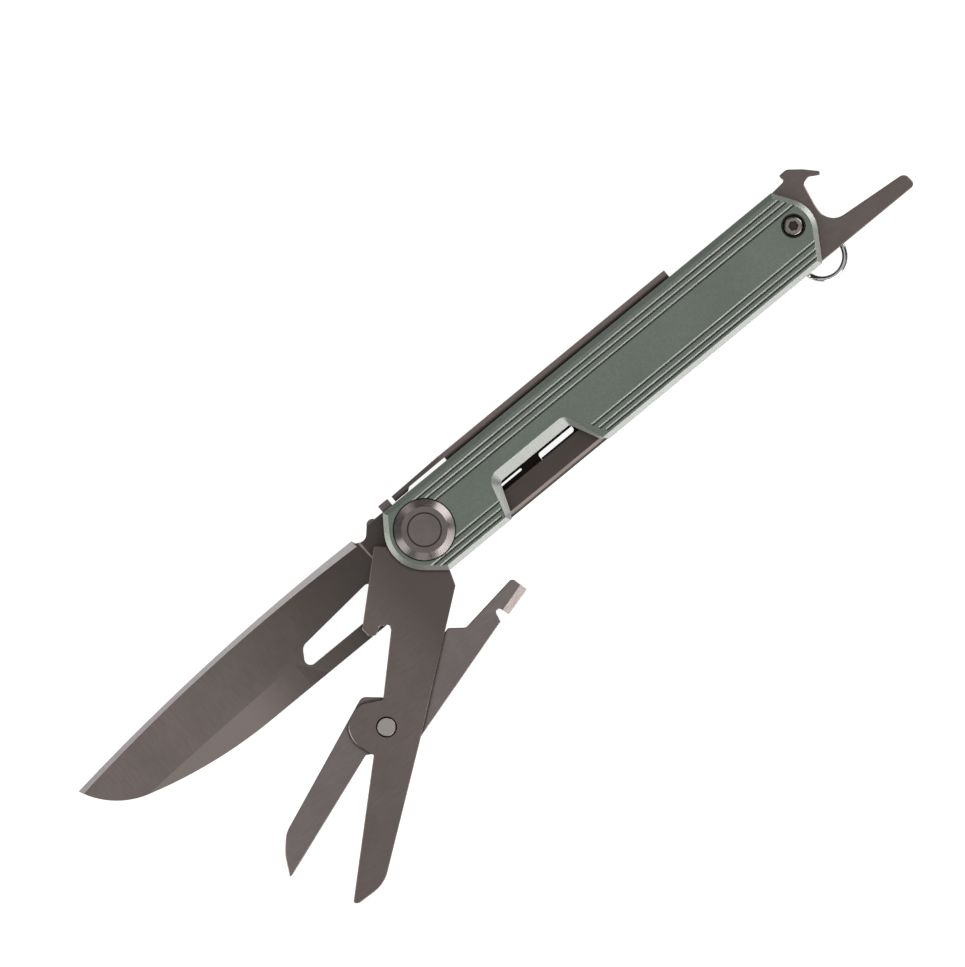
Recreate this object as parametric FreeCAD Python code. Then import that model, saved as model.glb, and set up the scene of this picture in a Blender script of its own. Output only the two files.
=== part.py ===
import FreeCAD, Part
import math
import os

# Folding multi tool: knife blade and scissors on one pivot, with a fixed bottle opener and
# pry bar at the butt. Millimetres. The origin is the pivot axis where it meets the flat face
# of the rear pivot cap. +X runs along the handle to the butt, +Y to the lock bar side, and
# +Z from the rear plate to the front scale. Both tools are drawn unfolded as at rest: the
# blade in line with the handle, the scissors part way.

V = FreeCAD.Vector

# ---- driving dimensions: layers of the stack along Z --------------------------------------
REAR_CAP_THICK = 0.60
PLATE_THICK = 1.30
BLADE_THICK = 1.80
BLADE_PLAY = 0.15
TOOL_PLATE_THICK = 1.40
JAW_THICK = 1.20
JAW_GAP = 0.05
JAW_PLAY = 0.15
SCALE_THICK = 2.30
CAP_PROUD = 0.40

Z_REAR = REAR_CAP_THICK
Z_REAR_IN = Z_REAR + PLATE_THICK
Z_BLADE = Z_REAR_IN + BLADE_PLAY
Z_BLADE_TOP = Z_BLADE + BLADE_THICK
Z_TOOL = Z_BLADE_TOP + BLADE_PLAY
Z_TOOL_TOP = Z_TOOL + TOOL_PLATE_THICK
Z_LEVER = Z_TOOL_TOP + JAW_PLAY
Z_LEVER_TOP = Z_LEVER + JAW_THICK
Z_JAW = Z_LEVER_TOP + JAW_GAP
Z_JAW_TOP = Z_JAW + JAW_THICK
Z_SCALE = Z_JAW_TOP + JAW_PLAY
Z_TOP = Z_SCALE + SCALE_THICK

# ---- driving dimensions: handle outline ---------------------------------------------------
TOP_Y = 6.40
BOTTOM_Y = -7.65
NOSE_R = 6.55
NOSE_UPPER_DEG = 145.0
NOSE_LOWER_DEG = 230.5
TAIL_R = 5.50
TAIL_X = 75.45
TAIL_Y = 0.10
TAIL_UPPER_DEG = 33.3
TAIL_LOWER_DEG = -32.1
PLATE_INSET = 0.15
PLATE_BREAK = 0.15
PRY_BOTTOM_Y = -7.40
STEP_X0 = 9.00
STEP_X1 = 36.00
STEP_Y = -6.60
STEP_W = 0.50
STEP_DROP = 0.32

# ---- driving dimensions: front scale ------------------------------------------------------
RIM_BEVEL = 0.85
GROOVE_MIDLINE_Y = -0.77
GROOVE_OFFSETS = (3.40, 4.52, 5.48)
GROOVE_UPPER_W = 0.26
GROOVE_LOWER_W = 0.24
GROOVE_DEPTH = 0.15
CUTOUT_BEVEL_DEPTH = 1.05
CUTOUT_BEVEL_W = 1.80

# ---- driving dimensions: pivot and fasteners ----------------------------------------------
CAP_R = 4.95
CAP_FLAT_R = 3.75
CAP_BEVEL_H = 0.55
CAP_RING_R = 2.85
CAP_RING_W = 0.25
CAP_RING_DEPTH = 0.12
CAP_POCKET_R = 5.15
CAP_POCKET_DEPTH = 1.20
SLEEVE_R = 2.40
SLEEVE_BORE_R = 1.30
PIVOT_SHANK_R = 1.25
RUN_CLEARANCE = 0.05
FIT_CLEARANCE = 0.01
WASHER_R = 4.60
WASHER_PLAY = 0.02
BUSHING_R = 2.75
BUTT_X = 77.30
BUTT_POCKET_R = 2.00
BUTT_POCKET_DEPTH = 1.10
BUTT_HEAD_R = 1.72
BUTT_HEAD_H = 1.00
BUTT_RIM_H = 0.40
BUTT_SOCKET_R = 0.87
BUTT_SOCKET_W = 1.50
BUTT_SHANK_R = 0.95
BUTT_SLEEVE_R = 1.25
BUTT_NUT_R = 2.30
SPACER_R = 1.60
LANYARD_X = 77.90
LANYARD_Y = -4.20
LANYARD_R = 0.90
TANG_R = 5.30
STOP_ORBIT_R = 6.11
STOP_R = 0.70
BLADE_STOP_DEG = 277.0
JAW_STOP_DEG = 50.0

# ---- driving dimensions: lock bar ---------------------------------------------------------
BAR_TOP_Y = 7.80
BAR_X0 = 9.90
BAR_X1 = 56.70
BAR_GAP = 0.06
BAR_BEVEL = 0.30
LOCK_SLOT_TOP_Y = -2.20
LOCK_SLOT_BOTTOM_Y = -3.07
LOCK_SLOT_X1 = 29.05
LOCK_FOOT_X1 = 21.90
LOCK_FOOT_Y = -3.50
LOCK_FOOT_R = 0.50
FINGER_X0 = -0.75
FINGER_HEAD_X1 = 1.90
DETENT_X = 13.00
DETENT_Y = -0.90
DETENT_R = 0.80
DETENT_PROUD = 0.08

# ---- driving dimensions: blade ------------------------------------------------------------
TIP_X = -70.30
TIP_Y = 2.90
HEEL_X = -10.35
HEEL_Y = 6.10
PLUNGE_X = -9.35
GRIND_SLOPE = 0.072
SWEDGE_SLOPE = 0.140
EDGE_SLOPE = 0.36
STUB_X0 = -3.45
STUB_X1 = -1.50
STUB_TOP_Y = 7.70

# ---- driving dimensions: scissors rivet, split ring ---------------------------------------
RIVET_X = -25.05
RIVET_Y = -20.75
RIVET_R = 1.55
RIVET_HOLE_R = 1.72
RIVET_FOOT_R = 2.20
RIVET_FOOT_H = 0.60
JAW_BREAK = 0.12
SPRING_PIN_X = -12.50
SPRING_PIN_Y = -6.20
SPRING_PIN_R = 0.80
RING_X = 77.90
RING_Y = -6.75
RING_OUT_R = 4.20
RING_WIRE_W = 0.70
RING_WIRE_H = 0.80
RING_COIL_GAP = 0.06

FAR = 20.0


# ---- shape helpers ------------------------------------------------------------------------
def path_wire(start, steps, z):
    """Closed wire at height z. A step of two numbers is a line to that point, and a step of
    four is an arc through its first point to its second."""
    edges = []
    here = V(start[0], start[1], z)
    for step in steps:
        there = V(step[-2], step[-1], z)
        if len(step) == 4:
            edges.append(Part.Arc(here, V(step[0], step[1], z), there).toShape())
        else:
            edges.append(Part.LineSegment(here, there).toShape())
        here = there
    first = V(start[0], start[1], z)
    if here.distanceToPoint(first) > 1e-6:
        edges.append(Part.LineSegment(here, first).toShape())
    return Part.Wire(edges)


def rounded_wire(corners, z):
    """Closed wire through (x, y, radius) corners: straight runs joined by tangent arcs."""
    edges = []
    ends = []
    for i, (x, y, r) in enumerate(corners):
        here = V(x, y, z)
        before = V(corners[i - 1][0], corners[i - 1][1], z)
        after_corner = corners[(i + 1) % len(corners)]
        after = V(after_corner[0], after_corner[1], z)
        to_before = (before - here).normalize()
        to_after = (after - here).normalize()
        half = to_before.getAngle(to_after) / 2
        run = r / math.tan(half)
        inward = (to_before + to_after).normalize()
        mid = here + inward * (r / math.sin(half) - r)
        ends.append((here + to_before * run, mid, here + to_after * run, r))
    for i, (start, mid, end, r) in enumerate(ends):
        if r > 0:
            edges.append(Part.Arc(start, mid, end).toShape())
        edges.append(Part.LineSegment(end, ends[(i + 1) % len(ends)][0]).toShape())
    return Part.Wire(edges)


def slab(wire, thickness):
    """Upright slab on a flat closed wire."""
    return Part.makeSolid(Part.Face(wire).extrude(V(0, 0, thickness)).Shells[0])


def plate(start, steps, z0, z1):
    return slab(path_wire(start, steps, z0), z1 - z0)


def block(x0, x1, y0, y1, z0, z1):
    return Part.makeBox(x1 - x0, y1 - y0, z1 - z0, V(x0, y0, z0))


def rounded_block(x0, x1, y0, y1, r, z0, z1):
    corners = [(x0, y0, r), (x1, y0, r), (x1, y1, r), (x0, y1, r)]
    return slab(rounded_wire(corners, z0), z1 - z0)


def disc(x, y, r, z0, z1):
    return Part.makeCylinder(r, z1 - z0, V(x, y, z0))


def tube(x, y, r_out, r_in, z0, z1):
    return disc(x, y, r_out, z0, z1).cut(disc(x, y, r_in, z0 - 1, z1 + 1))


def polar(r, degrees):
    return (r * math.cos(math.radians(degrees)), r * math.sin(math.radians(degrees)))


def edges_at(shape, z):
    """Edges of a shape that lie in the plane at height z."""
    found = []
    for edge in shape.Edges:
        box = edge.BoundBox
        if abs(box.ZMin - z) < 1e-5 and abs(box.ZMax - z) < 1e-5:
            found.append(edge)
    return found


def break_edges(shape, size, *levels):
    """Small chamfer on every edge that lies at one of the given heights."""
    for z in levels:
        shape = shape.makeChamfer(size, edges_at(shape, z))
    return shape


def wedge_cut(shape, start, end, reach, drop, run_out, z_face, z_mid):
    """Grinds both faces of a flat shape: each face falls by drop over the distance reach, to
    the left of the line from start to end, mirrored about the plane at z_mid. Each wall where
    the line ends is laid back by run_out times its height."""
    along = V(end[0] - start[0], end[1] - start[1], 0)
    left = V(-along.y, along.x, 0).normalize()
    base = V(start[0], start[1], z_face)
    corners = [base, base + left * reach + V(0, 0, -drop), base + left * reach + V(0, 0, 1),
               base + V(0, 0, 1), base]
    cutter = Part.Face(Part.makePolygon(corners)).extrude(along)
    run = along.normalize() * (drop * run_out)
    far_end = sloped_wall(V(end[0], end[1], z_face), run, left * reach, drop)
    near_end = sloped_wall(base, -run, left * reach, drop)
    for tool in (cutter, far_end, near_end):
        shape = shape.cut(tool).cut(tool.mirror(V(0, 0, z_mid), V(0, 0, 1)))
    return shape


def sloped_wall(base, run, out, drop):
    """Cutter that lays back the end wall of a ground face, from nothing at the grind line."""
    corners = (base, base + out - V(0, 0, drop), base + out, base + out + run)
    faces = []
    for i in range(4):
        ring = [corners[j] for j in range(4) if j != i]
        faces.append(Part.Face(Part.makePolygon(ring + ring[:1])))
    return Part.makeSolid(Part.makeShell(faces))


def arc_centre(a, b, c):
    """Centre and radius of the circle through three points."""
    circle = Part.Arc(V(a[0], a[1], 0), V(b[0], b[1], 0), V(c[0], c[1], 0)).toShape().Curve
    return circle.Center, circle.Radius


def hex_socket(x, y, across, z0, z1):
    corners = []
    for i in range(6):
        dx, dy = polar(across / math.sqrt(3), 60 * i + 30)
        corners.append(V(x + dx, y + dy, z0))
    corners.append(corners[0])
    return Part.Face(Part.makePolygon(corners)).extrude(V(0, 0, z1 - z0))


# ---- handle outline -----------------------------------------------------------------------
def tangent_x(cx, cy, r, degrees, y):
    """X where the tangent to a circle, with its normal at this angle, reaches height y."""
    nx, ny = polar(1, degrees)
    return cx + (r - (y - cy) * ny) / nx


def nose_corners(inset):
    """The pivot end, from its upper corner round to its lower corner."""
    r = NOSE_R - inset
    top = TOP_Y - inset
    bottom = BOTTOM_Y + inset
    half = math.radians(NOSE_LOWER_DEG - NOSE_UPPER_DEG) / 2
    peak = polar(r / math.cos(half), (NOSE_UPPER_DEG + NOSE_LOWER_DEG) / 2)
    return [(tangent_x(0, 0, r, NOSE_UPPER_DEG, top), top, 0), (peak[0], peak[1], r),
            (tangent_x(0, 0, r, NOSE_LOWER_DEG, bottom), bottom, 0)]


def tail_corners(inset):
    """The butt end, from its lower corner round to its upper corner."""
    r = TAIL_R - inset
    top = TOP_Y - inset
    bottom = BOTTOM_Y + inset
    half = math.radians(TAIL_UPPER_DEG - TAIL_LOWER_DEG) / 2
    peak = polar(r / math.cos(half), (TAIL_UPPER_DEG + TAIL_LOWER_DEG) / 2)
    return [(tangent_x(TAIL_X, TAIL_Y, r, TAIL_LOWER_DEG, bottom), bottom, 0),
            (TAIL_X + peak[0], TAIL_Y + peak[1], r),
            (tangent_x(TAIL_X, TAIL_Y, r, TAIL_UPPER_DEG, top), top, 0)]


def handle_slab(inset, z0, z1):
    return slab(rounded_wire(nose_corners(inset) + tail_corners(inset), z0), z1 - z0)


# ---- handle parts -------------------------------------------------------------------------
def cutout_wire(grow, z):
    """Access cutout in the lower edge of the scale, opened out by grow, and less at its ends."""
    left = grow * 0.58
    right = grow * 0.18
    return rounded_wire([
        (11.3 - left, -9.0, 0),
        (12.6 - left, -6.6, 1.2),
        (14.4 - left, -1.8 + grow, 0.9 + grow * 0.7),
        (28.9 + right, -1.8 + grow, 0.6 + grow * 0.6),
        (31.25 + right, -6.55, 1.2),
        (34.0 + right, -9.0, 0)], z)


def groove(y, x0, x1):
    """V groove cutter along X."""
    low = V(x0, y - GROOVE_LOWER_W, Z_TOP)
    corners = [low, V(x0, y, Z_TOP - GROOVE_DEPTH), V(x0, y + GROOVE_UPPER_W, Z_TOP), low]
    return Part.Face(Part.makePolygon(corners)).extrude(V(x1 - x0, 0, 0))


def front_scale():
    scale = handle_slab(0, Z_SCALE, Z_TOP)
    scale = break_edges(scale, RIM_BEVEL, Z_TOP)
    scale = scale.cut(slab(cutout_wire(0, Z_SCALE - 1), SCALE_THICK + 2))
    bevel_foot = cutout_wire(0, Z_TOP - CUTOUT_BEVEL_DEPTH)
    bevel_top = cutout_wire(CUTOUT_BEVEL_W, Z_TOP)
    scale = scale.cut(Part.makeLoft([bevel_foot, bevel_top], True, True))
    cutout_starts = (12.3, 11.8, 11.0)
    cutout_ends = (31.7, 32.3, 33.0)
    lower_starts = (0, -FAR, -FAR)
    for i, offset in enumerate(GROOVE_OFFSETS):
        scale = scale.cut(groove(GROOVE_MIDLINE_Y + offset, 1.0, TAIL_X + FAR))
        scale = scale.cut(groove(GROOVE_MIDLINE_Y - offset, lower_starts[i], cutout_starts[i]))
        scale = scale.cut(groove(GROOVE_MIDLINE_Y - offset, cutout_ends[i], TAIL_X + FAR))
    scale = scale.cut(disc(0, 0, CAP_POCKET_R, Z_TOP - CAP_POCKET_DEPTH, Z_TOP + 1))
    scale = scale.cut(disc(0, 0, SLEEVE_R + RUN_CLEARANCE, Z_SCALE - 1, Z_TOP))
    scale = scale.cut(disc(BUTT_X, 0, BUTT_POCKET_R, Z_TOP - BUTT_POCKET_DEPTH, Z_TOP + 1))
    scale = scale.cut(disc(BUTT_X, 0, BUTT_SLEEVE_R + WASHER_PLAY, Z_SCALE - 1, Z_TOP))
    stop = polar(STOP_ORBIT_R, JAW_STOP_DEG)
    return scale.cut(disc(stop[0], stop[1], STOP_R, Z_SCALE - 1, Z_SCALE + 1.2))


def tool_plate():
    """Middle plate, whose butt end is the bottle opener hook and the pry bar."""
    pry_bar = [(97.1, PRY_BOTTOM_Y, 0.95), (96.75, -4.83, 1.25)]
    throat = [(81.95, -3.51, 2.9), (82.3, 0.5, 8.0), (83.05, 4.3, 0.6)]
    hook = [(84.35, 4.6, 0.9), (85.95, 3.65, 0.2), (86.35, 4.15, 0.2), (84.4, 6.15, 7.0),
            (82.3, 7.8, 1.2), (80.7, 7.75, 0.25), (80.85, 6.55, 0.35)]
    nose = nose_corners(PLATE_INSET)
    corners = nose[:2] + [(nose[2][0], PRY_BOTTOM_Y, 0)] + pry_bar + throat + hook
    corners.append((77.6, TOP_Y - PLATE_INSET, 0))
    body = slab(rounded_wire(corners, Z_TOOL), TOOL_PLATE_THICK)
    body = break_edges(body, PLATE_BREAK, Z_TOOL, Z_TOOL_TOP)
    body = body.cut(rounded_block(9.5, 34.0, -3.4, 2.2, 1.5, Z_TOOL - 1, Z_TOOL_TOP + 1))
    body = body.cut(lower_step())
    return body.cut(stack_holes(SLEEVE_R, Z_TOOL, Z_TOOL_TOP))


def lower_step():
    """Cutter for the sloped step along the plate's lower edge, where the scale is cut out."""
    start = V(STEP_X0, STEP_Y, Z_TOOL_TOP)
    ledge = Z_TOOL_TOP - STEP_DROP
    corners = [start, V(STEP_X0, STEP_Y - STEP_W, ledge), V(STEP_X0, -FAR, ledge),
               V(STEP_X0, -FAR, Z_TOOL_TOP + 1), V(STEP_X0, STEP_Y, Z_TOOL_TOP + 1), start]
    return Part.Face(Part.makePolygon(corners)).extrude(V(STEP_X1 - STEP_X0, 0, 0))


def stack_holes(pivot_r, z0, z1):
    """Cutters for what passes through a handle plate: pivot, stop pin, butt post, lanyard pin."""
    stop = polar(STOP_ORBIT_R, BLADE_STOP_DEG)
    holes = disc(0, 0, pivot_r + FIT_CLEARANCE, z0 - 1, z1 + 1)
    holes = holes.fuse(disc(stop[0], stop[1], STOP_R + FIT_CLEARANCE, z0 - 1, z1 + 1))
    holes = holes.fuse(disc(BUTT_X, 0, BUTT_SLEEVE_R + FIT_CLEARANCE, z0 - 1, z1 + 1))
    return holes.fuse(disc(LANYARD_X, LANYARD_Y, LANYARD_R + FIT_CLEARANCE, z0 - 1, z1 + 1))


def rear_plate():
    """Rear plate: pivot end, lower rail and butt end, open where the lock bar lies."""
    body = handle_slab(PLATE_INSET, Z_REAR, Z_REAR_IN)
    body = break_edges(body, PLATE_BREAK, Z_REAR)
    x0 = BAR_X0 - BAR_GAP - 0.5
    x1 = BAR_X1 + BAR_GAP
    low, high = Z_REAR - 1, Z_REAR_IN + 1
    bay = block(x0, x1, LOCK_SLOT_TOP_Y - BAR_GAP, FAR, low, high)
    slot = rounded_wire([(x0, LOCK_SLOT_BOTTOM_Y, 0), (LOCK_SLOT_X1, LOCK_SLOT_BOTTOM_Y, 0.5),
                         (LOCK_SLOT_X1, 0, 0), (x0, 0, 0)], low)
    foot_room = block(x0, LOCK_FOOT_X1 + BAR_GAP, LOCK_FOOT_Y - BAR_GAP, 0, low, high)
    body = body.cut(bay).cut(slab(slot, high - low)).cut(foot_room)
    return body.cut(stack_holes(SLEEVE_R, Z_REAR, Z_REAR_IN))


def lock_bar():
    """Spring bar of the frame lock, with the finger that stands behind the blade's stub."""
    fillet_x, fillet_y = polar(LOCK_FOOT_R, 135)
    fillet_end = (LOCK_FOOT_X1 + LOCK_FOOT_R + fillet_x, LOCK_SLOT_TOP_Y - LOCK_FOOT_R + fillet_y,
                  LOCK_FOOT_X1 + LOCK_FOOT_R, LOCK_SLOT_TOP_Y)
    body = plate((FINGER_X0, 6.5), [
        (FINGER_HEAD_X1, 6.5), (FINGER_HEAD_X1 + 0.6, 6.95), (BAR_X0, 7.0), (BAR_X0, LOCK_FOOT_Y),
        (LOCK_FOOT_X1, LOCK_FOOT_Y), (LOCK_FOOT_X1, LOCK_SLOT_TOP_Y - LOCK_FOOT_R), fillet_end,
        (BAR_X1, LOCK_SLOT_TOP_Y), (BAR_X1, BAR_TOP_Y),
        (BAR_X0 - 1.0, BAR_TOP_Y), (FINGER_X0, 7.55)], Z_REAR, Z_REAR_IN)
    body = break_edges(body, 0.1, Z_REAR)
    low, high = Z_REAR - 1, Z_REAR_IN + 1
    body = body.cut(rounded_block(16.0, 29.5, 1.0, 5.4, 1.2, low, high))
    body = body.cut(rounded_block(13.6, 18.4, -2.56, -2.20, 0.17, low, high))
    relief = block(BAR_X1 - 6.5, BAR_X1 - 2.5, -FAR, FAR, Z_REAR - 1, Z_REAR + 0.6)
    body = body.cut(relief)
    for i in range(5):
        x = 34.0 + 2.2 * i
        body = body.cut(block(x, x + 1.0, -0.6, 5.6, Z_REAR - 1, Z_REAR + 0.25))
    body = body.cut(bar_bevel())
    return body.cut(disc(DETENT_X, DETENT_Y, DETENT_R, low, high))


def bar_bevel():
    """Cutter for the bevel along the lock bar's open edge."""
    x0 = BAR_X0 - 1.0
    corners = [V(x0, BAR_TOP_Y - BAR_BEVEL, Z_REAR_IN), V(x0, BAR_TOP_Y, Z_REAR_IN - BAR_BEVEL),
               V(x0, BAR_TOP_Y + 1, Z_REAR_IN), V(x0, BAR_TOP_Y - BAR_BEVEL, Z_REAR_IN)]
    return Part.Face(Part.makePolygon(corners)).extrude(V(BAR_X1 - x0, 0, 0))


def detent_ball():
    z = Z_REAR_IN + DETENT_PROUD - DETENT_R
    return Part.makeSphere(DETENT_R, V(DETENT_X, DETENT_Y, z))


# ---- pivot stack --------------------------------------------------------------------------
def pivot_cap():
    """Flat front cap with a bevelled rim, and its shank down into the sleeve."""
    z_seat = Z_TOP - CAP_POCKET_DEPTH
    z_cap = Z_TOP + CAP_PROUD
    cap = disc(0, 0, CAP_R, z_seat, z_cap - CAP_BEVEL_H)
    bevel = Part.makeCone(CAP_R, CAP_FLAT_R, CAP_BEVEL_H, V(0, 0, z_cap - CAP_BEVEL_H))
    recess = tube(0, 0, CAP_RING_R, CAP_RING_R - CAP_RING_W, z_cap - CAP_RING_DEPTH, z_cap + 1)
    shank = disc(0, 0, PIVOT_SHANK_R, Z_REAR_IN, z_seat)
    return cap.fuse(bevel).fuse(shank).removeSplitter().cut(recess)


def pivot_sleeve():
    """Rear cap with two spanner holes, and the tube that both tools turn on."""
    cap = Part.makeCone(CAP_R - 0.3, CAP_R, 0.3).fuse(disc(0, 0, CAP_R, 0.3, REAR_CAP_THICK))
    barrel = disc(0, 0, SLEEVE_R, REAR_CAP_THICK, Z_TOP - CAP_POCKET_DEPTH)
    body = cap.fuse(barrel).removeSplitter()
    body = body.cut(disc(0, 0, SLEEVE_BORE_R, Z_REAR_IN - 0.5, FAR))
    for x in (-3.1, 3.1):
        body = body.cut(disc(x, 0, 0.6, -1, 0.45))
    return body


def washer(r_out, z0, z1):
    return tube(0, 0, r_out, SLEEVE_R + FIT_CLEARANCE, z0, z1)


def rear_washer():
    return washer(WASHER_R, Z_REAR_IN, Z_BLADE - WASHER_PLAY)


def middle_washer():
    return washer(WASHER_R, Z_BLADE_TOP + WASHER_PLAY, Z_TOOL)


def scissors_bushing():
    return washer(BUSHING_R, Z_TOOL_TOP, Z_JAW - WASHER_PLAY)


def front_washer():
    return washer(WASHER_R, Z_JAW_TOP + WASHER_PLAY, Z_SCALE)


def blade_stop_pin():
    x, y = polar(STOP_ORBIT_R, BLADE_STOP_DEG)
    return disc(x, y, STOP_R, Z_REAR, Z_TOOL_TOP)


def scissors_stop_pin():
    x, y = polar(STOP_ORBIT_R, JAW_STOP_DEG)
    return disc(x, y, STOP_R, Z_JAW, Z_SCALE + 1.2)


# ---- butt end hardware --------------------------------------------------------------------
def butt_screw():
    """Domed head screw with a hex socket, sunk in the scale."""
    z_seat = Z_TOP - BUTT_POCKET_DEPTH
    z_rim = z_seat + BUTT_RIM_H
    z_crest = z_seat + BUTT_HEAD_H
    crest_r = BUTT_SOCKET_R + 0.15
    shoulder = V(BUTT_X + BUTT_HEAD_R - 0.14, 0, z_rim + 0.62 * (z_crest - z_rim))
    rim = V(BUTT_X + BUTT_HEAD_R, 0, z_rim)
    crest = V(BUTT_X + crest_r, 0, z_crest)
    axis_top = V(BUTT_X, 0, z_crest)
    axis_foot = V(BUTT_X, 0, z_seat)
    foot = V(BUTT_X + BUTT_HEAD_R, 0, z_seat)
    outline = Part.Wire([Part.makeLine(foot, rim), Part.Arc(rim, shoulder, crest).toShape(),
                         Part.makeLine(crest, axis_top), Part.makeLine(axis_top, axis_foot),
                         Part.makeLine(axis_foot, foot)])
    head = Part.Face(outline).revolve(axis_foot, V(0, 0, 1), 360)
    shank = disc(BUTT_X, 0, BUTT_SHANK_R, Z_REAR_IN, z_seat)
    body = head.fuse(shank).removeSplitter()
    return body.cut(hex_socket(BUTT_X, 0, BUTT_SOCKET_W, z_seat + 0.1, Z_TOP + 1))


def butt_sleeve():
    """Threaded sleeve for the butt screw, with a flat head on the rear plate."""
    head = disc(BUTT_X, 0, BUTT_NUT_R, Z_REAR - 0.4, Z_REAR)
    barrel = disc(BUTT_X, 0, BUTT_SLEEVE_R, Z_REAR, Z_TOP - BUTT_POCKET_DEPTH)
    body = head.fuse(barrel).removeSplitter()
    body = break_edges(body, 0.15, Z_REAR - 0.4)
    body = body.cut(hex_socket(BUTT_X, 0, BUTT_SOCKET_W, Z_REAR - 1, Z_REAR + 0.9))
    return body.cut(disc(BUTT_X, 0, BUTT_SHANK_R + WASHER_PLAY, Z_REAR + 0.9, FAR))


def spacer(z0, z1):
    return tube(BUTT_X, 0, SPACER_R, BUTT_SLEEVE_R + FIT_CLEARANCE, z0, z1)


def lanyard_pin():
    """Riveted pin through both plates, which the split ring hangs on."""
    return disc(LANYARD_X, LANYARD_Y, LANYARD_R, Z_REAR, Z_TOOL_TOP)


def split_ring():
    """Two turns of flat-sided wire lying on each other, joined by a short crossing."""
    wire_z = (Z_REAR_IN + Z_TOOL) / 2
    low = wire_z - RING_COIL_GAP / 2 - RING_WIRE_H
    high = wire_z + RING_COIL_GAP / 2
    r_in = RING_OUT_R - RING_WIRE_W
    body = tube(RING_X, RING_Y, RING_OUT_R, r_in, low, low + RING_WIRE_H)
    body = body.fuse(tube(RING_X, RING_Y, RING_OUT_R, r_in, high, high + RING_WIRE_H))
    crossing = tube(RING_X, RING_Y, RING_OUT_R, r_in, low + RING_WIRE_H, high)
    sector = block(RING_X - 0.9, RING_X + 0.9, RING_Y - FAR, RING_Y, low, high + 1)
    return body.fuse(crossing.common(sector)).removeSplitter()


# ---- knife blade --------------------------------------------------------------------------
def blade():
    """Knife blade: flat ground towards the cutting edge, swedged along the spine."""
    stub_foot = math.sqrt(TANG_R ** 2 - STUB_X1 ** 2)
    body = plate((0.0, -TANG_R), [
        (TANG_R, 0, STUB_X1, stub_foot), (STUB_X1, STUB_TOP_Y), (STUB_X0, STUB_TOP_Y),
        (STUB_X0, 6.5), (-5.2, 6.5), (-6.05, 6.95, -6.9, 6.4), (-7.9, 5.3),
        (-8.6, 4.95, -9.4, 5.05), (-10.1, 5.4), (HEEL_X, HEEL_Y),
        (-40.0, 5.62, TIP_X, TIP_Y),
        (-66.6, -2.1, -61.6, -4.75), (-50.5, -7.2, -38.0, -8.05),
        (-12.0, -8.05), (-3.0, -7.45), (0.0, -7.2)], Z_BLADE, Z_BLADE_TOP)
    z_mid = (Z_BLADE + Z_BLADE_TOP) / 2
    body = wedge_cut(body, (-76.0, -5.95), (PLUNGE_X, -0.9), FAR, GRIND_SLOPE * FAR, 1.0,
                     Z_BLADE_TOP, z_mid)
    body = wedge_cut(body, (-30.2, -3.40), (-76.0, -5.1), FAR, SWEDGE_SLOPE * FAR, 5.0,
                     Z_BLADE_TOP, z_mid)
    body = edge_bevel(body, z_mid)
    slot = rounded_wire([(-29.37, -5.40, 1.0), (-27.3, -2.05, 1.5), (-12.4, -0.72, 0.8),
                         (-12.4, -5.40, 1.2)], Z_BLADE - 1)
    body = body.cut(slab(slot, BLADE_THICK + 2))
    body = body.cut(disc(-DETENT_X, -DETENT_Y, DETENT_R - 0.15, Z_BLADE - 1, Z_BLADE + 0.35))
    return body.cut(disc(0, 0, SLEEVE_R + RUN_CLEARANCE, Z_BLADE - 1, Z_BLADE_TOP + 1))


def edge_bevel(body, z_mid):
    """Hones both faces to the cutting edge, along the arc of the edge."""
    centre, r = arc_centre((HEEL_X, HEEL_Y), (-40.0, 5.62), (TIP_X, TIP_Y))
    root = z_mid + 0.04
    rise = EDGE_SLOPE
    profile = Part.makePolygon([
        V(centre.x + r - 3, centre.y, root + 3 * rise), V(centre.x + r, centre.y, root),
        V(centre.x + r + 1, centre.y, root), V(centre.x + r + 1, centre.y, root + 3 * rise),
        V(centre.x + r - 3, centre.y, root + 3 * rise)])
    first = math.degrees(math.atan2(HEEL_Y - centre.y, HEEL_X + 0.15 - centre.x))
    last = math.degrees(math.atan2(TIP_Y - centre.y, TIP_X - 2.0 - centre.x))
    face = Part.Face(profile)
    face.rotate(V(centre.x, centre.y, 0), V(0, 0, 1), first)
    cutter = face.revolve(V(centre.x, centre.y, 0), V(0, 0, 1), last - first)
    return body.cut(cutter).cut(cutter.mirror(V(0, 0, z_mid), V(0, 0, 1)))


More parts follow.
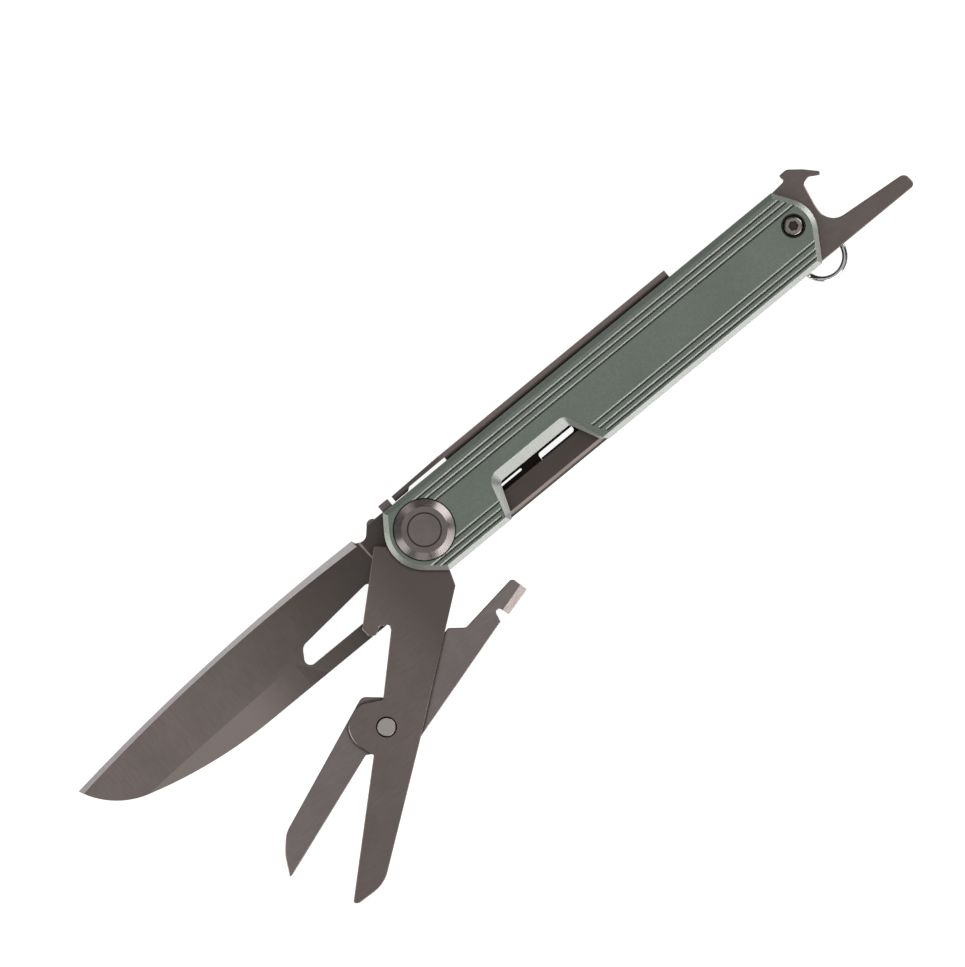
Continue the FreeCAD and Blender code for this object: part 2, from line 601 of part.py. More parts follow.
# ---- scissors -----------------------------------------------------------------------------
def main_jaw():
    """Front half of the scissors, whose tang turns on the handle's pivot."""
    shank = [(-8.0, 3.15, 0.25), (-18.05, -6.05, 0.3), (-17.95, -7.75, 0.5),
             (-16.9, -8.2, 0.2), (-15.6, -7.5, 0.3), (-14.15, -8.2, 0.4), (-14.55, -9.15, 0.3),
             (-22.65, -16.95, 0.4)]
    boss = [(-26.6, -14.8, 3.5), (-30.0, -16.7, 3.0), (-30.8, -19.5, 4.0), (-29.55, -22.95, 0.25)]
    jaw = [(-47.35, -39.35, 0.4), (-46.6, -40.0, 1.4), (-41.5, -40.2, 5.5), (-22.0, -25.7, 8.0),
           (-1.85, -10.15, 0.4), (-0.95, -7.6, 0)]
    hidden = [(-0.1, -4.8, 0), (-4.6, 0.0, 0)]
    body = slab(rounded_wire(shank + boss + jaw + hidden, Z_JAW), JAW_THICK)
    body = break_edges(body, JAW_BREAK, Z_JAW_TOP)
    body = body.fuse(disc(0, 0, TANG_R, Z_JAW, Z_JAW_TOP)).removeSplitter()
    body = body.cut(disc(RIVET_X, RIVET_Y, RIVET_HOLE_R, Z_JAW - 1, Z_JAW_TOP + 1))
    body = body.cut(disc(SPRING_PIN_X, SPRING_PIN_Y, SPRING_PIN_R, Z_JAW - 1, Z_JAW + 0.9))
    return body.cut(disc(0, 0, SLEEVE_R + RUN_CLEARANCE, Z_JAW - 1, Z_JAW_TOP + 1))


def lever_jaw():
    """Rear half of the scissors, with the thumb lever."""
    boss = [(-19.5, -17.9, 1.0), (-22.1, -17.0, 0.4), (-25.1, -14.42, 1.3)]
    jaw = [(-48.6, -23.7, 5.0), (-50.9, -26.2, 8.0), (-52.75, -29.85, 0.25),
           (-30.55, -22.15, 0.3), (-29.1, -23.0, 0.8), (-28.7, -25.3, 1.5), (-25.3, -26.55, 1.5)]
    notch = [(0.1, -19.35, 0.35), (0.45, -17.55, 0.35), (1.3, -17.6, 0.3), (1.8, -19.3, 0.2)]
    thumb = [(6.7, -18.0, 0.25), (5.95, -15.05, 0.8), (-4.9, -16.5, 0.9), (-7.2, -14.7, 0.6)]
    body = slab(rounded_wire(boss + jaw + notch + thumb, Z_LEVER), JAW_THICK)
    body = break_edges(body, JAW_BREAK, Z_LEVER_TOP)
    grip = Part.makePolygon([
        V(1.4, -19.6, Z_LEVER_TOP - 0.75), V(1.4, -18.1, Z_LEVER_TOP + 0.01),
        V(1.4, -19.6, Z_LEVER_TOP + 0.01), V(1.4, -19.6, Z_LEVER_TOP - 0.75)])
    cutter = Part.Face(grip).extrude(V(6.0, 1.66, 0))
    body = body.cut(cutter)
    body = body.cut(disc(RIVET_X, RIVET_Y, RIVET_R + RUN_CLEARANCE, Z_LEVER - 1, Z_LEVER_TOP + 1))
    sink = Part.makeCone(RIVET_FOOT_R + RUN_CLEARANCE, RIVET_R + RUN_CLEARANCE, RIVET_FOOT_H,
                         V(RIVET_X, RIVET_Y, Z_LEVER))
    return body.cut(sink)


def scissors_rivet():
    """Rivet fixed in the main jaw, with a flared foot that carries the lever jaw."""
    foot = Part.makeCone(RIVET_FOOT_R, RIVET_R, RIVET_FOOT_H, V(RIVET_X, RIVET_Y, Z_LEVER))
    body = foot.fuse(disc(RIVET_X, RIVET_Y, RIVET_R, Z_LEVER + RIVET_FOOT_H, Z_JAW_TOP))
    body = body.removeSplitter()
    return break_edges(body, 0.12, Z_JAW_TOP)


def spring_pin():
    return disc(SPRING_PIN_X, SPRING_PIN_Y, SPRING_PIN_R, Z_LEVER, Z_JAW + 0.9)


def scissors_spring():
    """Leaf that pushes the lever jaw open, hooked round its pin."""
    eye = tube(SPRING_PIN_X, SPRING_PIN_Y, SPRING_PIN_R + 0.45, SPRING_PIN_R, Z_LEVER + 0.1,
               Z_LEVER_TOP - 0.1)
    leaf = plate((-13.65, -6.5), [
        (-14.9, -11.5, -17.6, -16.9), (-17.25, -17.1), (-14.35, -11.6, -13.2, -7.0)],
        Z_LEVER + 0.1, Z_LEVER_TOP - 0.1)
    hole = disc(SPRING_PIN_X, SPRING_PIN_Y, SPRING_PIN_R, Z_LEVER, Z_LEVER_TOP)
    return eye.fuse(leaf).removeSplitter().cut(hole)


PARTS = {
    "front_scale": front_scale,
    "tool_plate": tool_plate,
    "rear_plate": rear_plate,
    "lock_bar": lock_bar,
    "detent_ball": detent_ball,
    "pivot_cap": pivot_cap,
    "pivot_sleeve": pivot_sleeve,
    "rear_washer": rear_washer,
    "middle_washer": middle_washer,
    "scissors_bushing": scissors_bushing,
    "front_washer": front_washer,
    "blade_stop_pin": blade_stop_pin,
    "scissors_stop_pin": scissors_stop_pin,
    "butt_screw": butt_screw,
    "butt_sleeve": butt_sleeve,
    "rear_spacer": lambda: spacer(Z_REAR_IN, Z_TOOL),
    "front_spacer": lambda: spacer(Z_TOOL_TOP, Z_SCALE),
    "lanyard_pin": lanyard_pin,
    "split_ring": split_ring,
    "blade": blade,
    "main_jaw": main_jaw,
    "lever_jaw": lever_jaw,
    "scissors_rivet": scissors_rivet,
    "spring_pin": spring_pin,
    "scissors_spring": scissors_spring,
}

os.makedirs("parts", exist_ok=True)
for name, make in PARTS.items():
    shape = make()
    shape.exportStep("parts/" + name + ".step")
    box = shape.BoundBox
    print(name, "valid" if shape.isValid() else "INVALID", len(shape.Solids), "solid",
          "volume %.2f" % shape.Volume,
          "x %.2f..%.2f y %.2f..%.2f z %.2f..%.2f" % (box.XMin, box.XMax, box.YMin, box.YMax,
                                                      box.ZMin, box.ZMax))
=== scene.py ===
"""Looks for a folding multi tool: a knife blade and scissors on one pivot, between a green scale
and steel plates.

The object lies on its rear face. X runs from the blade's tip to the butt, Y towards the lock bar,
and Z up to the green scale. Lengths are in metres.
"""

import math

import bmesh
import bpy
from mathutils import Matrix, Vector


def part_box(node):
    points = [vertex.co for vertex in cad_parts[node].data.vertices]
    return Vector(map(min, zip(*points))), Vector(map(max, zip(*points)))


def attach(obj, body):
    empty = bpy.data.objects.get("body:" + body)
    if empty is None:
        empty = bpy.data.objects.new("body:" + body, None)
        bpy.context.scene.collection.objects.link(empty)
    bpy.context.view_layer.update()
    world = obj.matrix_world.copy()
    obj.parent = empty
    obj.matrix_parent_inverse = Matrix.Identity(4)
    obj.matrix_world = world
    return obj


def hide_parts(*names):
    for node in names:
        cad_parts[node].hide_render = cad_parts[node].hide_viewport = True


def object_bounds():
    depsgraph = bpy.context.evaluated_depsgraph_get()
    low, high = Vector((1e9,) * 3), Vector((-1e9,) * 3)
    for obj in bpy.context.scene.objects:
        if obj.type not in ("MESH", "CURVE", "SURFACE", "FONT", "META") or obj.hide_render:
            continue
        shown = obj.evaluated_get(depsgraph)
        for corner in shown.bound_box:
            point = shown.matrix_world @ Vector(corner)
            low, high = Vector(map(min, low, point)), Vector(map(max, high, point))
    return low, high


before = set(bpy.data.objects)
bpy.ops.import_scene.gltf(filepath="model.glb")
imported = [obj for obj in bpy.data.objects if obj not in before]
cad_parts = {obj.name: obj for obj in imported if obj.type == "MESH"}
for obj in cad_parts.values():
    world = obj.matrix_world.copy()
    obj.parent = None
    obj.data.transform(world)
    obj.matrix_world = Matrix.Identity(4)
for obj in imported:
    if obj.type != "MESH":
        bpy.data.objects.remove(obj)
CAD_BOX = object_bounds()
MM = 0.001

# ---------------------------------------------------------------- view

# The camera looks straight down on the scale, turned so that the handle points up and to the right.
HANDLE_LEAN = math.radians(39.475)
CAMERA_HEIGHT = 3.0
CAMERA_CENTRE = (12.0 * MM, -0.2 * MM)
VIEW_WIDTH = 156.65 * MM
VIEW_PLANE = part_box("tool_plate")[1].z
SENSOR = 36.0
CLIP_START = 0.05

# ---------------------------------------------------------------- split ring

# Two turns of round wire on the lanyard pin, which hang out of the gap between the plates.
RING_WIRE = 0.46 * MM
RING_RADIUS = 3.70 * MM
RING_TILT = math.radians(0.8)
RING_START = math.radians(200)
RING_TURNS = 2
RING_PITCH = 0.94 * MM
# Where the wire crosses from one turn to the other, as part of a turn.
RING_CROSSING = 0.14
RING_STEPS = 160
WIRE_SIDES = 16

# ---------------------------------------------------------------- colours

GREEN = (0.152, 0.176, 0.150)
# A painted highlight for the scale's bevels that face -Y.
PAINTED_BEVEL_HIGHLIGHT = (0.205, 0.208, 0.196)
WARM_GREY = (0.140, 0.116, 0.107)
BLADE_GREY = (0.186, 0.156, 0.145)
JAW_GREY = (0.150, 0.124, 0.116)
LEVER_GREY = (0.185, 0.158, 0.152)
HONED = (0.75, 0.71, 0.70)
TURNED_GREY = (0.150, 0.130, 0.126)
# A painted highlight for the pivot cap's bevel.
PAINTED_CAP_HIGHLIGHT = (0.32, 0.282, 0.272)
SCREW_GREY = (0.22, 0.19, 0.18)
BRIGHT = (0.34, 0.31, 0.295)
CHROME = (0.52, 0.51, 0.50)
BRONZE = (0.42, 0.27, 0.14)
FLOOR_TONES = ((0.28, 0.28, 0.28), (0.31, 0.31, 0.31))

# ---------------------------------------------------------------- zones of the surfaces

# Each zone is a pair: where its mask starts to change, and where the change is complete.
REAR_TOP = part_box("rear_plate")[1].z
BAR_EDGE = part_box("lock_bar")[1].y
SCREW_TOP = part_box("butt_screw")[1].z
CAP_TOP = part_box("pivot_cap")[1].z
BLADE_SHADE_X = (-50 * MM, -10 * MM)
STUB_Y = (6.2 * MM, 6.8 * MM)
# Where the painted highlight on the blade's swedge fades out.
SWEDGE_END_X = (-42 * MM, -31 * MM)
# Where the painted shade on the scissors' tang begins.
SHANK_END_X = (-16 * MM, -8 * MM)
# The middle plate's painted shade inside the scale's cutout.
RECESS_LEFT_X = (6 * MM, 12 * MM)
RECESS_RIGHT_X = (33 * MM, 38 * MM)
RECESS_LOWER_Y = (-6.7 * MM, -6.5 * MM)
# The painted shade on the rear layer's inner faces.
INNER_Z = (REAR_TOP - 0.10 * MM, REAR_TOP - 0.04 * MM)
INNER_Y = (BAR_EDGE - 1.25 * MM, BAR_EDGE - 0.80 * MM)
# The lock bar's painted highlight strip.
BAR_HIGHLIGHT_X = (8 * MM, 10 * MM)
BAR_HIGHLIGHT_Y = (BAR_EDGE - 0.95 * MM, BAR_EDGE - 0.65 * MM)
# The painted shade in the butt screw's socket.
SOCKET_Z = (SCREW_TOP - 0.45 * MM, SCREW_TOP - 0.30 * MM)
CAP_GROOVE_Z = (CAP_TOP - 0.06 * MM, CAP_TOP - 0.03 * MM)
CAP_GROOVE_RADIUS = (3.0 * MM, 3.2 * MM)

# These tell faces apart by their steepness, and by how far they look along X or Y.
BEVEL_STEEPNESS = (0.09, 0.12)
BEVEL_LOOK = (0.0, 0.5)
GROOVE_WALL_LOOK = (0.40, 0.48)
RIM_LOOK = (0.60, 0.66)
TURNED_BEVEL_STEEPNESS = (0.03, 0.06)
HONED_STEEPNESS = (0.020, 0.032)
SIDE_STEEPNESS = (0.20, 0.22)
HONED_LOOK = (0.1, 0.2)
SWEDGE_LOOK = (-0.11, -0.06)
LOWER_EDGE_LOOK = (-0.55, -0.45)
OUTER_LOOK = (0.0, 0.35)
# The cosine of a bevel's turn away from its face, at a flat place and on a sharp edge.
EDGE_TURN = (0.995, 0.9)

# Most of a noise texture's values lie in these bands.
BAND = (0.35, 0.65)
WIDE_BAND = (0.3, 0.7)
RUB_BAND = (0.35, 0.7)
SCRATCH_BAND = (0.7, 0.8)
OPEN_BAND = (0.5, 0.95)

PLATE_ROUGH = (0.34, 0.44)
PLATE_GRAIN = (0.12, 1, 1)
JAW_ROUGH = (0.33, 0.43)
JAW_GRAIN = (0.2, 1, 1)
SCRATCH_GRAIN = (220, 5200, 220)
SCRATCH_TURN = 0.6

# ---------------------------------------------------------------- node helpers

# The colour mix node's sockets. Their names repeat for each kind of data.
MIX_FACTOR, MIX_A, MIX_B, MIX_RESULT = 0, 6, 7, 2


def shade(colour, factor):
    """A colour made darker or paler."""
    return tuple(channel * factor for channel in colour)


class Graph:
    """A material's nodes, added from left to right."""

    def __init__(self, name):
        self.material = bpy.data.materials.new(name)
        self.material.use_nodes = True
        self.tree = self.material.node_tree
        self.shader = self.tree.nodes["Principled BSDF"]
        self.place = self.add("ShaderNodeTexCoord").outputs["Object"]

    def add(self, kind, **values):
        """A new node with these settings."""
        node = self.tree.nodes.new(kind)
        for key, value in values.items():
            setattr(node, key, value)
        return node

    def feed(self, socket, value):
        """Links value to the socket if it is an output, and otherwise sets it there."""
        if isinstance(value, bpy.types.NodeSocket):
            self.tree.links.new(value, socket)
        else:
            socket.default_value = value

    def stretch(self, scale, turn=0.0):
        """The place on the object, turned about Z and stretched."""
        node = self.add("ShaderNodeMapping", vector_type="POINT")
        self.feed(node.inputs["Vector"], self.place)
        node.inputs["Rotation"].default_value = (0, 0, turn)
        node.inputs["Scale"].default_value = scale
        return node.outputs["Vector"]

    def noise(self, scale, detail=2.0, rough=0.5, at=None):
        """Soft noise, with scale in cells per metre."""
        node = self.add("ShaderNodeTexNoise")
        self.feed(node.inputs["Vector"], at or self.place)
        node.inputs["Scale"].default_value = scale
        node.inputs["Detail"].default_value = detail
        node.inputs["Roughness"].default_value = rough
        return node.outputs["Fac"]

    def span(self, value, ends, to=(0.0, 1.0), smooth=False):
        """value, taken from the two ends to the other two."""
        node = self.add("ShaderNodeMapRange")
        if smooth:
            node.interpolation_type = "SMOOTHSTEP"
        self.feed(node.inputs["Value"], value)
        for name, number in zip(("From Min", "From Max", "To Min", "To Max"), (*ends, *to)):
            node.inputs[name].default_value = number
        return node.outputs["Result"]

    def fall(self, value, ends, smooth=False):
        """1 up to the first end, falling to 0 at the second."""
        return self.span(value, ends, (1.0, 0.0), smooth)

    def math(self, operation, a, b=0.0):
        """A sum, a product or a function of one or two numbers."""
        node = self.add("ShaderNodeMath", operation=operation)
        self.feed(node.inputs[0], a)
        self.feed(node.inputs[1], b)
        return node.outputs[0]

    def both(self, a, b):
        """One mask within another, or a mask made weaker."""
        return self.math("MULTIPLY", a, b)

    def mix(self, factor, a, b):
        """The colour a where factor is 0, and b where it is 1."""
        node = self.add("ShaderNodeMix", data_type="RGBA")
        self.feed(node.inputs[MIX_FACTOR], factor)
        for index, colour in ((MIX_A, a), (MIX_B, b)):
            is_output = isinstance(colour, bpy.types.NodeSocket)
            self.feed(node.inputs[index], colour if is_output else (*colour, 1))
        return node.outputs[MIX_RESULT]

    def paint(self, base, *coats):
        """The colour base under coats, which are (mask, colour) pairs, the last on top."""
        for mask, colour in coats:
            base = self.mix(mask, base, colour)
        return base

    def part(self, axis, source=None):
        """One coordinate of the place on the object, or of another vector."""
        node = self.add("ShaderNodeSeparateXYZ")
        self.feed(node.inputs[0], source or self.place)
        return node.outputs[axis]

    def facing(self, axis):
        """How far the face looks along an axis, from -1 to 1."""
        return self.part(axis, self.add("ShaderNodeTexCoord").outputs["Normal"])

    def steepness(self):
        """0 on faces square to Z, and 1 on faces along it."""
        return self.math("SUBTRACT", 1.0, self.math("ABSOLUTE", self.facing("Z")))

    def edge_wear(self, radius):
        """1 on sharp edges, fading to 0 that far from them."""
        bevel = self.add("ShaderNodeBevel", samples=4)
        bevel.inputs["Radius"].default_value = radius
        face = self.add("ShaderNodeNewGeometry")
        dot = self.add("ShaderNodeVectorMath", operation="DOT_PRODUCT")
        self.feed(dot.inputs[0], bevel.outputs["Normal"])
        self.feed(dot.inputs[1], face.outputs["Normal"])
        return self.span(dot.outputs["Value"], EDGE_TURN)

    def contact_shade(self, reach):
        """1 deep in corners between parts, where shade is painted, fading to 0 that far from them.
        """
        hollow = self.add("ShaderNodeAmbientOcclusion", samples=6)
        hollow.inputs["Distance"].default_value = reach
        return self.fall(hollow.outputs["AO"], OPEN_BAND)

    def bump(self, height, strength, distance):
        """Fine relief, too small to be geometry."""
        node = self.add("ShaderNodeBump")
        node.inputs["Strength"].default_value = strength
        node.inputs["Distance"].default_value = distance
        self.feed(node.inputs["Height"], height)
        self.feed(self.shader.inputs["Normal"], node.outputs["Normal"])

    def finish(self, colour, roughness, metallic):
        """The material, once its shader has these."""
        self.feed(self.shader.inputs["Base Color"], colour)
        self.feed(self.shader.inputs["Roughness"], roughness)
        self.feed(self.shader.inputs["Metallic"], metallic)
        return self.material


# ---------------------------------------------------------------- materials


def anodised(name, colour):
    """Blasted and anodised aluminium: matt grain, cloudy colour and rubbed edges, with a painted
    highlight on bevels that face -Y and painted shade on groove walls that face +Y and in corners.
    """
    g = Graph(name)
    cloud = g.noise(90, 3)
    mottle = g.noise(1300, 3, 0.6)
    grain = g.noise(5200, 2, 0.6)
    rubbed = g.both(g.edge_wear(0.06 * MM), g.span(g.noise(900, 3), BAND))
    pale = g.span(g.steepness(), BEVEL_STEEPNESS, (0.0, 0.85))
    shaded_groove_walls = g.span(g.facing("Y"), GROOVE_WALL_LOOK)
    base = g.paint(
        shade(colour, 0.95),
        (g.span(cloud, BAND), shade(colour, 1.09)),
        (g.span(mottle, WIDE_BAND, (0.0, 0.3)), shade(colour, 0.78)),
        (g.span(grain, BAND, (0.0, 0.5)), shade(colour, 0.7)),
        # A painted highlight on bevels that face -Y.
        (g.both(pale, g.fall(g.facing("Y"), BEVEL_LOOK)), PAINTED_BEVEL_HIGHLIGHT),
        # Painted shade on groove walls that face +Y.
        (g.both(shaded_groove_walls, g.fall(g.facing("Y"), RIM_LOOK)), shade(colour, 0.45)),
        (g.both(rubbed, 0.2), shade(colour, 1.4)),
        # Painted shade in corners between parts.
        (g.both(g.contact_shade(0.5 * MM), 0.8), shade(colour, 0.2)),
    )
    g.bump(grain, 0.35, 0.02 * MM)
    g.shader.inputs["Specular IOR Level"].default_value = 0.4
    return g.finish(base, g.span(cloud, WIDE_BAND, (0.42, 0.5)), 0.72)


def steel(
    name, colour, rough=(0.3, 0.4), grain=(1, 1, 1), turn=0.0,
    size=2600, depth=0.006 * MM, zones=()
):
    """Plated or ground steel: grain along one direction, blotches, small scratches, rubbed edges,
    painted shade in corners.

    zones are (function that makes a mask of the graph, colour) pairs, for parts of the surface
    that are darker or paler.
    """
    g = Graph(name)
    lines = g.noise(size, 3, 0.6, g.stretch(grain, turn))
    scratch = g.noise(1, 2, 0.7, g.stretch(SCRATCH_GRAIN, turn + SCRATCH_TURN))
    rubbed = g.both(g.edge_wear(0.08 * MM), g.span(g.noise(1100, 3), RUB_BAND))
    base = g.paint(
        shade(colour, 0.94),
        (g.span(g.noise(140, 3), BAND), shade(colour, 1.06)),
        (g.span(lines, WIDE_BAND, (0.0, 0.3)), shade(colour, 0.72)),
        (g.span(scratch, SCRATCH_BAND, (0.0, 0.3)), shade(colour, 1.3)),
        *((mask(g), tone) for mask, tone in zones),
        (g.both(rubbed, 0.35), shade(colour, 1.7)),
        # Painted shade in corners between parts.
        (g.both(g.contact_shade(0.6 * MM), 0.85), shade(colour, 0.15)),
    )
    g.bump(lines, 0.3, depth)
    return g.finish(base, g.span(lines, WIDE_BAND, rough), 1.0)


def turned(name, colour, rough, pitch):
    """A turned part: fine rings round the pivot's axis, a painted highlight on its bevel and a dark
    ring groove.

    The rings repeat every 2 pi times pitch.
    """
    g = Graph(name)
    across = g.add("ShaderNodeVectorMath", operation="LENGTH")
    g.feed(across.inputs[0], g.stretch((1, 1, 0)))
    radius = across.outputs["Value"]
    rings = g.math("SINE", g.math("MULTIPLY", radius, 1 / pitch))
    blotch = g.noise(420, 3)
    groove = g.both(g.fall(g.part("Z"), CAP_GROOVE_Z), g.fall(radius, CAP_GROOVE_RADIUS))
    base = g.paint(
        shade(colour, 0.92),
        (g.span(blotch, BAND), shade(colour, 1.08)),
        (g.span(rings, (-1, 1), (0.0, 0.12)), shade(colour, 0.6)),
        # A painted highlight on the bevel.
        (g.span(g.steepness(), TURNED_BEVEL_STEEPNESS), PAINTED_CAP_HIGHLIGHT),
        (groove, shade(colour, 0.25)),
    )
    g.bump(rings, 0.2, 0.002 * MM)
    return g.finish(base, g.span(blotch, WIDE_BAND, rough), 1.0)


def inner_layer_shade(g):
    """1 on the rear layer's faces that look into the handle, where shade is painted, but not along
    its open upper edge.
    """
    return g.both(g.span(g.part("Z"), INNER_Z), g.fall(g.part("Y"), INNER_Y))


def cutout_shade(g):
    """1 on the middle plate inside the scale's cutout, where shade is painted."""
    along = g.both(g.span(g.part("X"), RECESS_LEFT_X), g.fall(g.part("X"), RECESS_RIGHT_X))
    return g.both(along, g.span(g.part("Y"), RECESS_LOWER_Y, (0.0, 0.85)))


def blade_tang_shade(g):
    """0 at the blade's tip, rising to its tang, where shade is painted, but 0 on its stub."""
    tang = g.span(g.part("X"), BLADE_SHADE_X, (0.0, 0.92), smooth=True)
    return g.both(tang, g.fall(g.part("Y"), STUB_Y))


def spine_bevel_highlight(g):
    """1 on the blade's bevel along the spine, where a highlight is painted, fading out where it
    runs into the flat.
    """
    side = g.fall(g.facing("Y"), SWEDGE_LOOK)
    return g.both(side, g.fall(g.part("X"), SWEDGE_END_X, smooth=True))


def honed_edge(g):
    """1 on the blade's ground bevels that face +Y."""
    tilt = g.steepness()
    ground = g.both(g.span(tilt, HONED_STEEPNESS), g.fall(tilt, SIDE_STEEPNESS))
    return g.both(ground, g.span(g.facing("Y"), HONED_LOOK))


def plate_edge_shade(g):
    """1 on the middle plate's sloped step and edges that face the scale's open side, where shade is
    painted.
    """
    return g.fall(g.facing("Y"), LOWER_EDGE_LOOK)


def bar_highlight(g):
    """1 along a painted highlight strip on the lock bar's open edge."""
    return g.both(g.span(g.part("Y"), BAR_HIGHLIGHT_Y, (0.0, 0.8)), g.span(g.part("X"), BAR_HIGHLIGHT_X))


def ring_shaded_side(g):
    """1 on the split ring's side that faces +X, where shade is painted."""
    return g.span(g.facing("X"), OUTER_LOOK)


def scissors_pivot_shade(g):
    """1 on the scissors' tang, where shade is painted, rising from 0 on their shank."""
    return g.span(g.part("X"), SHANK_END_X)


def socket_shade(g):
    """1 down in the butt screw's socket, where shade is painted."""
    return g.fall(g.part("Z"), SOCKET_Z)


def plate_steel(name, *zones):
    """The dark plating of the plates and the lock bar. zones are (function, factor) pairs, of
    painted shade or highlight.
    """
    shaded = [(mask, shade(WARM_GREY, factor)) for mask, factor in zones]
    return steel(name, WARM_GREY, PLATE_ROUGH, PLATE_GRAIN, zones=shaded)


# Painted shade towards the tang, a painted highlight on the swedge, and the honed edge's bare
# steel.
BLADE_ZONES = (
    (blade_tang_shade, shade(BLADE_GREY, 0.35)),
    (spine_bevel_highlight, shade(BLADE_GREY, 1.22)),
    (honed_edge, HONED),
)
# Painted shade in the socket.
SCREW_ZONES = ((socket_shade, shade(SCREW_GREY, 0.2)),)
# Painted shade on the scissors' tang.
JAW_ZONES = ((scissors_pivot_shade, shade(JAW_GREY, 0.7)),)
# Painted shade on the ring's side that faces +X.
RING_ZONES = ((ring_shaded_side, shade(CHROME, 0.3)),)

# By material slot, and by node where a node's look differs from its slot's.
MATERIALS = {
    "anodised_green": anodised("Anodised_green", GREEN),
    "blade_steel": steel(
        "Blade_steel", BLADE_GREY, (0.32, 0.42), (1, 0.15, 1), 0.1, zones=BLADE_ZONES
    ),
    "jaw_steel": steel("Jaw_steel", JAW_GREY, JAW_ROUGH, JAW_GRAIN, 0.9, zones=JAW_ZONES),
    "polished_dark": turned("Turned_dark_steel", TURNED_GREY, (0.2, 0.3), 0.02 * MM),
    "screw_steel": steel("Screw_steel", SCREW_GREY, (0.22, 0.32), zones=SCREW_ZONES),
    "bright_steel": steel("Bright_steel", BRIGHT, (0.26, 0.34), depth=0.002 * MM),
    "ring_chrome": steel(
        "Ring_chrome", CHROME, (0.1, 0.18), size=1500, depth=0.002 * MM, zones=RING_ZONES
    ),
    "bronze": steel("Bronze", BRONZE, (0.3, 0.45)),
}
NODE_MATERIALS = {
    "lever_jaw": steel("Lever_steel", LEVER_GREY, JAW_ROUGH, JAW_GRAIN, 0.5),
    "tool_plate": plate_steel("Tool_plate_steel", (cutout_shade, 0.5), (plate_edge_shade, 0.45)),
    "rear_plate": plate_steel("Rear_plate_steel", (inner_layer_shade, 0.12)),
    "lock_bar": plate_steel("Lock_bar_steel", (bar_highlight, 1.7), (inner_layer_shade, 0.12)),
}


def finish_nodes():
    """Gives every CAD node its own material, or its slot's."""
    for name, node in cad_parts.items():
        for material_slot in node.material_slots:
            slot = material_slot.material.name.split(".")[0]
            material_slot.material = NODE_MATERIALS.get(name) or MATERIALS[slot]


# ---------------------------------------------------------------- new pieces


def mesh_piece(name, body, slot, build, replaced):
    """A smooth piece from a bmesh that build fills in, shown in place of CAD nodes."""
    data = bpy.data.meshes.new(name)
    shape = bmesh.new()
    build(shape)
    bmesh.ops.recalc_face_normals(shape, faces=shape.faces)
    shape.to_mesh(data)
    shape.free()
    data.shade_smooth()
    piece = bpy.data.objects.new(name, data)
    bpy.context.scene.collection.objects.link(piece)
    data.materials.append(MATERIALS[slot])
    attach(piece, body)
    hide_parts(*replaced)


def sweep(shape, line, radius, sides):
    """A round tube with closed ends along the points of line."""
    rings = []
    for index, point in enumerate(line):
        ahead = line[min(index + 1, len(line) - 1)]
        behind = line[max(index - 1, 0)]
        along = (ahead - behind).normalized()
        out = along.cross(Vector((0, 0, 1))).normalized()
        up = out.cross(along)
        ring = []
        for side in range(sides):
            angle = 2 * math.pi * side / sides
            reach = radius * (math.cos(angle) * out + math.sin(angle) * up)
            ring.append(shape.verts.new(point + reach))
        rings.append(ring)
    for first, second in zip(rings, rings[1:]):
        for side in range(sides):
            after = (side + 1) % sides
            shape.faces.new((first[side], first[after], second[after], second[side]))
    shape.faces.new(rings[0])
    shape.faces.new(reversed(rings[-1]))


def ring_line():
    """Points along two turns of wire round the origin, with a short, smooth crossing."""
    line = []
    for step in range(RING_STEPS + 1):
        turn = RING_TURNS * step / RING_STEPS
        climb = min(max((turn - 1 + RING_CROSSING / 2) / RING_CROSSING, 0), 1)
        climb = climb * climb * (3 - 2 * climb) - 0.5
        angle = 2 * math.pi * turn + RING_START
        x, y = RING_RADIUS * math.cos(angle), RING_RADIUS * math.sin(angle)
        line.append(Vector((x, y, RING_PITCH * climb)))
    return line


def split_ring():
    """The coil of wire where the CAD ring is, tilted about its pin."""
    low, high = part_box("split_ring")
    pin_low, pin_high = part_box("lanyard_pin")
    pin = (pin_low + pin_high) / 2
    middle = (low + high) / 2
    pin.z = middle.z
    turn = Matrix.Rotation(RING_TILT, 4, "X")
    tilt = Matrix.Translation(pin) @ turn @ Matrix.Translation(-pin)

    def build(shape):
        line = [tilt @ (middle + point) for point in ring_line()]
        sweep(shape, line, RING_WIRE, WIRE_SIDES)

    mesh_piece("Split_ring_coil", "ring", "ring_chrome", build, ("split_ring",))


# ---------------------------------------------------------------- stage

PANEL_DISTANCE = 0.5
OVERHEAD_HEIGHT = 0.8
OVERHEAD_SIZE = 0.8
OVERHEAD_RADIANCE = 0.8
SKY_RADIANCE = 0.12
FLOOR_HALF_SIZE = 3.0
FLOOR_GAP = 0.02 * MM
FLOOR_GLOW = 0.9
# name, azimuth in degrees from +X towards +Y, width, lowest point, highest point, radiance
PANELS = (
    ("Low_right", -2, 0.22, 0.0, 0.2, 11.5),
    ("High_right", 6, 0.34, 0.24, 0.62, 2.3),
    ("Low_front", -90, 0.44, 0.0, 0.30, 7.4),
    ("High_front", -68, 0.56, 0.36, 0.62, 1.5),
    ("High_front_left", -135, 0.26, 0.30, 0.62, 0.55),
    ("Low_left", 163, 0.42, 0.0, 0.2, 7.0),
    ("High_left", 178, 0.24, 0.24, 0.6, 1.2),
    ("High_back", 90, 0.20, 0.24, 0.6, 0.7),
)


def softbox(name, place, size, radiance):
    """An area light of that radiance, facing the origin, which the camera doesn't see."""
    data = bpy.data.lights.new(name, "AREA")
    data.shape = "RECTANGLE"
    data.size, data.size_y = size
    data.energy = radiance * math.pi * size[0] * size[1]
    light = bpy.data.objects.new(name, data)
    bpy.context.scene.collection.objects.link(light)
    light.location = place
    light.visible_camera = False
    light.rotation_euler = (-light.location).to_track_quat("-Z", "Y").to_euler()


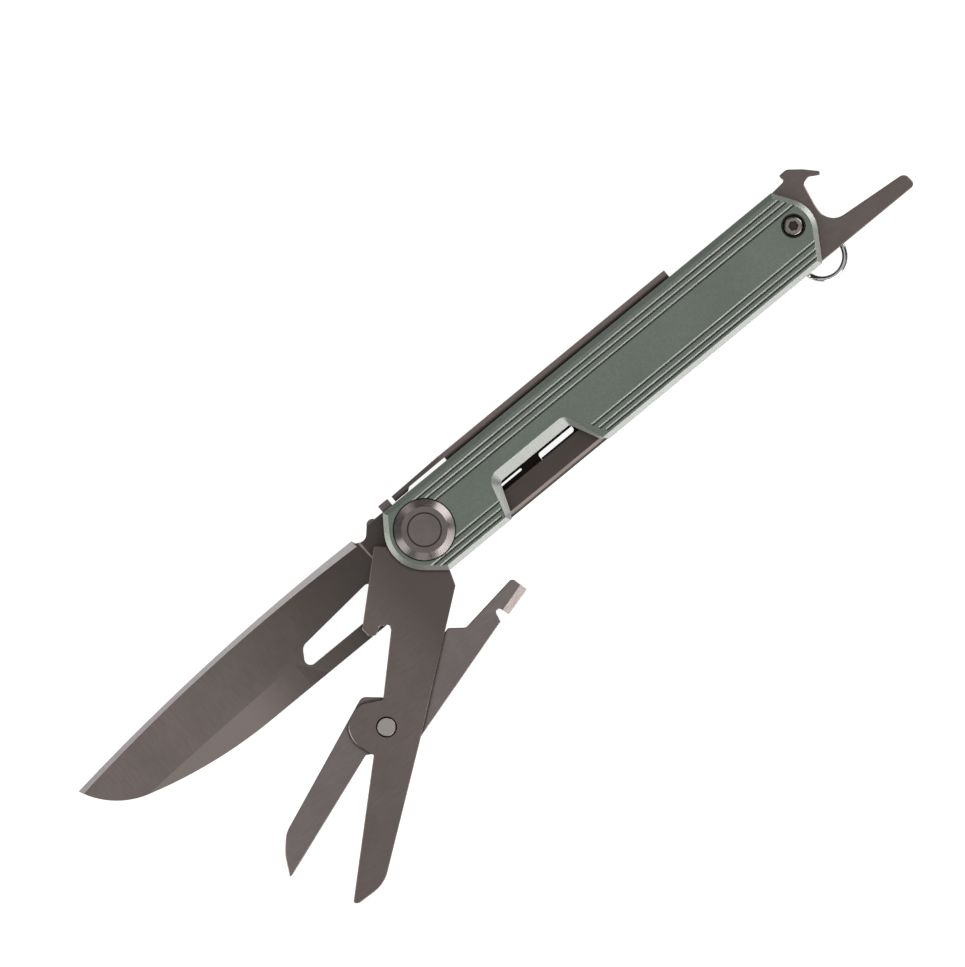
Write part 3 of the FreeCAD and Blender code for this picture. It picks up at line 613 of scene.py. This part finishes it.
def wall_panel(name, azimuth, width, low, high, radiance):
    """An upright light panel beside the object, facing it."""
    turn = math.radians(azimuth)
    x, y = PANEL_DISTANCE * math.cos(turn), PANEL_DISTANCE * math.sin(turn)
    softbox(name, (x, y, (low + high) / 2), (width, high - low), radiance)


def pale_floor():
    """A plain floor that glows a little, just under the object."""
    floor = bpy.data.meshes.new("Floor")
    shape = bmesh.new()
    bmesh.ops.create_grid(shape, x_segments=1, y_segments=1, size=FLOOR_HALF_SIZE)
    shape.to_mesh(floor)
    shape.free()
    ground = bpy.data.objects.new("Floor", floor)
    ground.location.z = CAD_BOX[0].z - FLOOR_GAP
    bpy.context.scene.collection.objects.link(ground)
    g = Graph("Floor_white")
    g.shader.inputs["Emission Color"].default_value = (1, 1, 1, 1)
    g.shader.inputs["Emission Strength"].default_value = FLOOR_GLOW
    tone = g.mix(g.noise(3, 2), *FLOOR_TONES)
    floor.materials.append(g.finish(tone, 0.9, 0.0))


def studio():
    """A dim sky, a softbox overhead and light panels round the object."""
    scene = bpy.context.scene
    world = bpy.data.worlds.new("Studio")
    world.use_nodes = True
    sky = world.node_tree.nodes["Background"]
    sky.inputs["Color"].default_value = (1, 1, 1, 1)
    sky.inputs["Strength"].default_value = SKY_RADIANCE
    scene.world = world
    scene.view_settings.view_transform = "Standard"
    for panel in PANELS:
        wall_panel(*panel)
    overhead = (OVERHEAD_SIZE, OVERHEAD_SIZE)
    softbox("Overhead", (0, 0, OVERHEAD_HEIGHT), overhead, OVERHEAD_RADIANCE)


def camera():
    """A long lens far above the object, so that the view is nearly parallel."""
    data = bpy.data.cameras.new("Camera")
    data.sensor_width = SENSOR
    data.lens = SENSOR * CAMERA_HEIGHT / VIEW_WIDTH
    data.clip_start = CLIP_START
    eye = bpy.data.objects.new("Camera", data)
    bpy.context.scene.collection.objects.link(eye)
    eye.location = (*CAMERA_CENTRE, VIEW_PLANE + CAMERA_HEIGHT)
    eye.rotation_euler = (0, 0, -HANDLE_LEAN)
    bpy.context.scene.camera = eye


finish_nodes()
split_ring()
studio()
pale_floor()
camera()
